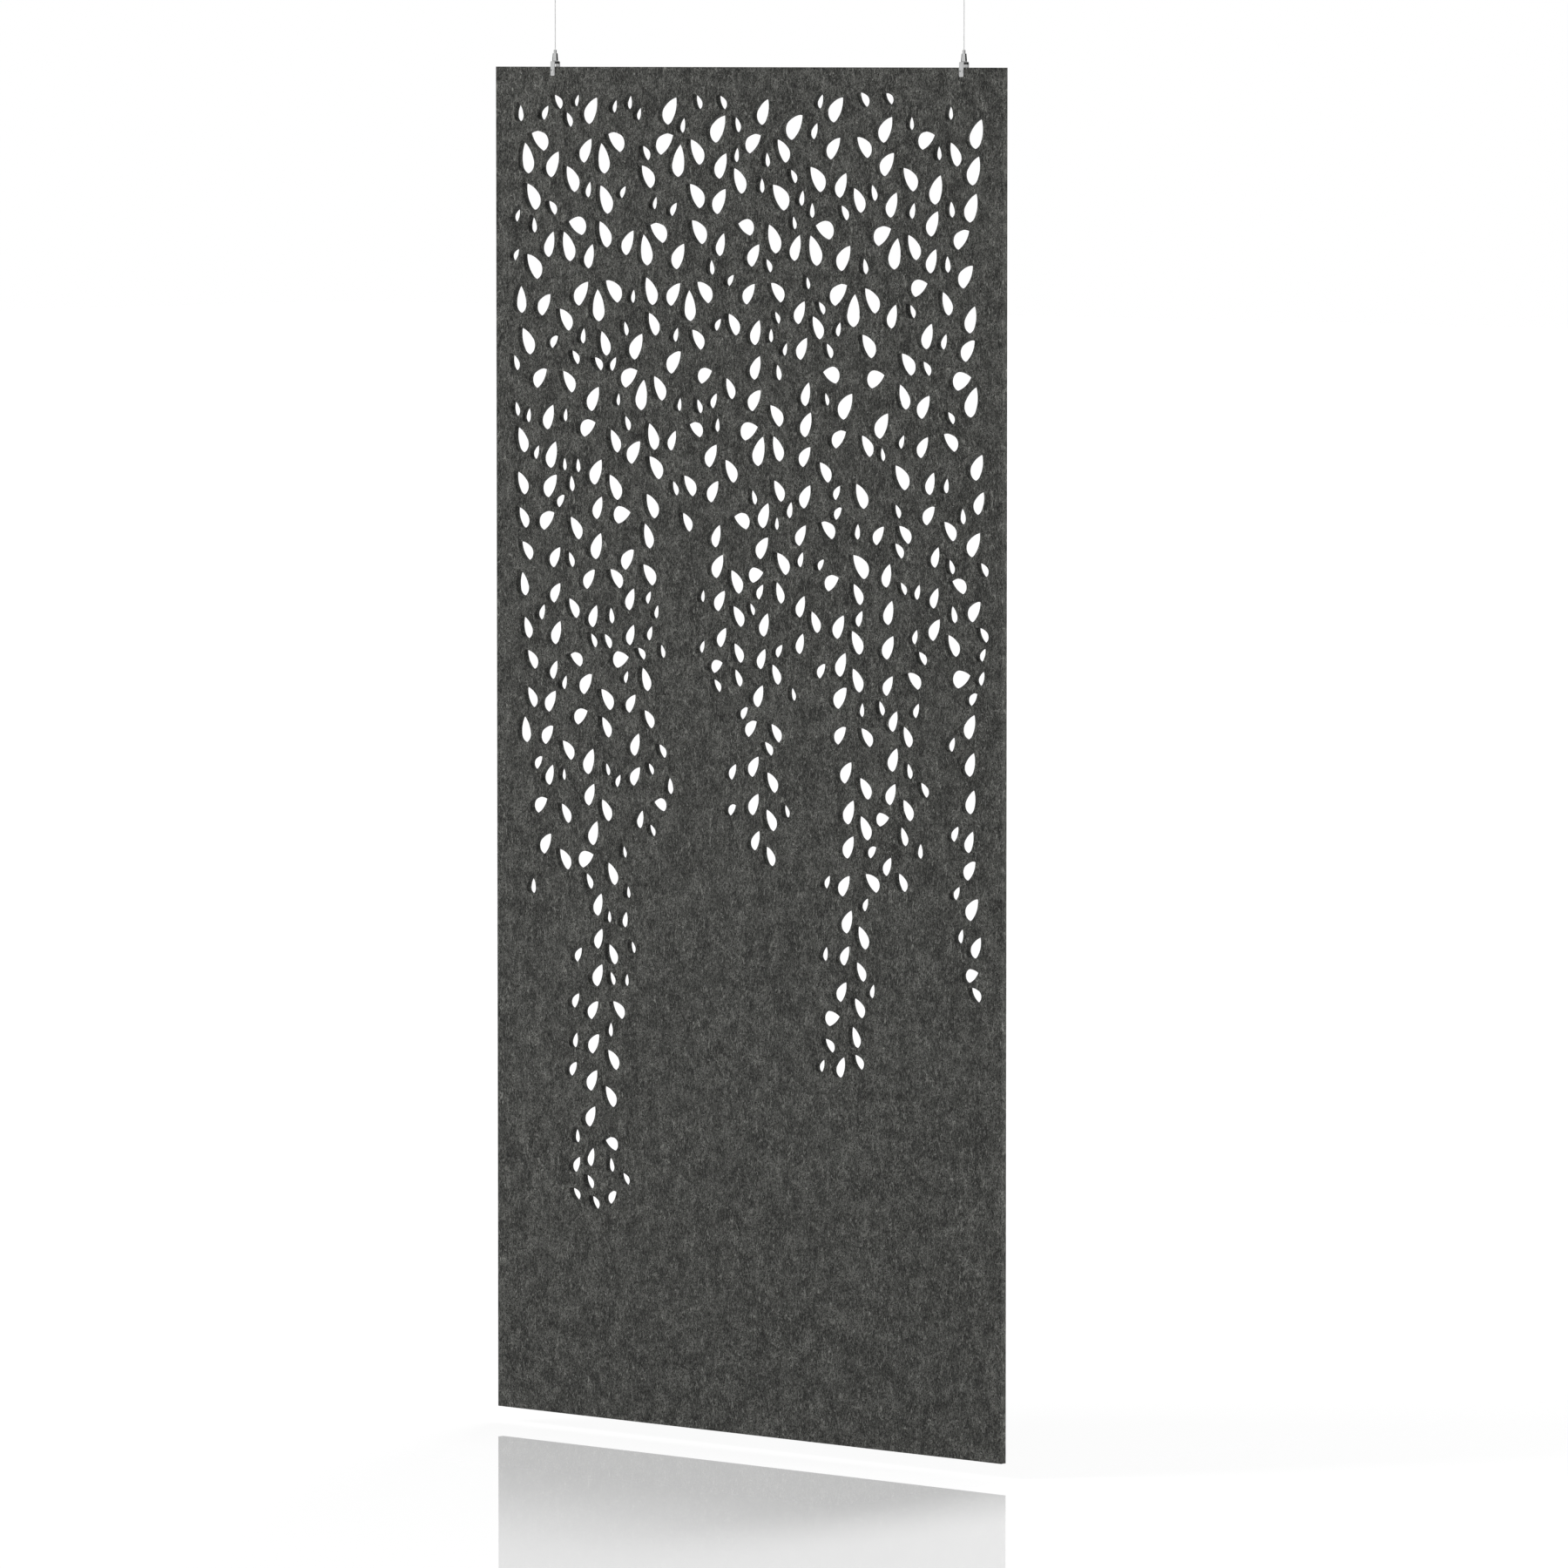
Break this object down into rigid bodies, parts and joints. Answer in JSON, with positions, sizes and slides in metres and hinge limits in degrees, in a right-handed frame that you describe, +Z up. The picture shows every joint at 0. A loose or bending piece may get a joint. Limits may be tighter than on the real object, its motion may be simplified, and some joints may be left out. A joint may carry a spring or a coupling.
{
  "type": "hanging room divider panel",
  "caption": "Hanging felt room divider panel with leaf-shaped openings, carried by wire cables with ball-lock grippers, bent clips and ceiling caps.",
  "frame": {"origin": "on the ceiling plane, midway between the two ceiling fixing holes, in the felt sheet's middle plane", "axes": "+Z up, +X to the right along the sheet as seen from the front, -Y towards the front"},
  "size_m": [1.2, 0.018, 2.55],
  "materials": {
    "felt": "matte",
    "nickel": "satin",
    "dark_steel": "satin",
    "wire_rope": "satin"
  },
  "bodies": {
    "ceiling": {"ceiling_base_left": "nickel", "ceiling_base_right": "nickel", "ceiling_cap_left": "nickel", "ceiling_cap_right": "nickel"},
    "ball_left": {"cable_ball_left": "wire_rope"},
    "cable_left": {"suspension_cable_left": "wire_rope"},
    "bend_left": {"cable_bend_left": "wire_rope"},
    "panel": {"felt_panel": "felt", "clip_left": "nickel", "clip_right": "nickel", "clamp_screw_left": "nickel", "clamp_screw_right": "nickel", "clamp_sleeve_left": "nickel", "clamp_sleeve_right": "nickel", "gripper_housing_left": "nickel", "gripper_housing_right": "nickel", "gripper_foot_left": "nickel", "gripper_foot_right": "nickel", "lock_nut_left": "dark_steel", "lock_nut_right": "dark_steel", "gripper_spring_left": "dark_steel", "gripper_spring_right": "dark_steel", "cable_tail_left": "wire_rope", "cable_tail_right": "wire_rope"},
    "plunger_left": {"release_plunger_left": "nickel", "gripper_balls_left": "dark_steel"},
    "plunger_right": {"release_plunger_right": "nickel", "gripper_balls_right": "dark_steel"},
    "ball_right": {"cable_ball_right": "wire_rope"},
    "cable_right": {"suspension_cable_right": "wire_rope", "cable_bend_right": "wire_rope"}
  },
  "joints": [
    {"name": "swing", "type": "hinge", "parent": "ceiling", "child": "ball_left", "pos_m": [-0.483, 0, -0.0195], "axis": [1, 0, 0], "range_deg": [-20, 20]},
    {"name": "sway", "type": "hinge", "parent": "ball_left", "child": "cable_left", "pos_m": [-0.483, 0, -0.0195], "axis": [0, 1, 0], "range_deg": [-12, 12]},
    {"name": "level", "type": "hinge", "parent": "cable_left", "child": "bend_left", "pos_m": [-0.483, 0, -0.1222], "axis": [0, 1, 0], "range_deg": [-12, 12]},
    {"name": "tilt", "type": "hinge", "parent": "bend_left", "child": "panel", "pos_m": [-0.483, 0, -0.1222], "axis": [1, 0, 0], "range_deg": [-15, 15]},
    {"name": "swing_right", "type": "hinge", "parent": "ceiling", "child": "ball_right", "pos_m": [0.483, 0, -0.0195], "axis": [1, 0, 0], "range_deg": [-20, 20]},
    {"name": "sway_right", "type": "hinge", "parent": "ball_right", "child": "cable_right", "pos_m": [0.483, 0, -0.0195], "axis": [0, 1, 0], "range_deg": [-12, 12]},
    {"name": "press_left", "type": "slide", "parent": "panel", "child": "plunger_left", "axis": [0, 0, -1], "range_m": [0, 0.0015], "stiffness_N_per_m": 1500, "springref_m": -0.0015, "deforming": ["gripper_spring_left"]},
    {"name": "press_right", "type": "slide", "parent": "panel", "child": "plunger_right", "axis": [0, 0, -1], "range_m": [0, 0.0015], "stiffness_N_per_m": 1500, "springref_m": -0.0015, "deforming": ["gripper_spring_right"]}
  ],
  "couplings": [
    {"joint": "level", "follows": "sway", "ratio": -1},
    {"joint": "sway_right", "follows": "sway", "ratio": 1},
    {"joint": "swing_right", "follows": "swing", "ratio": 1}
  ]
}
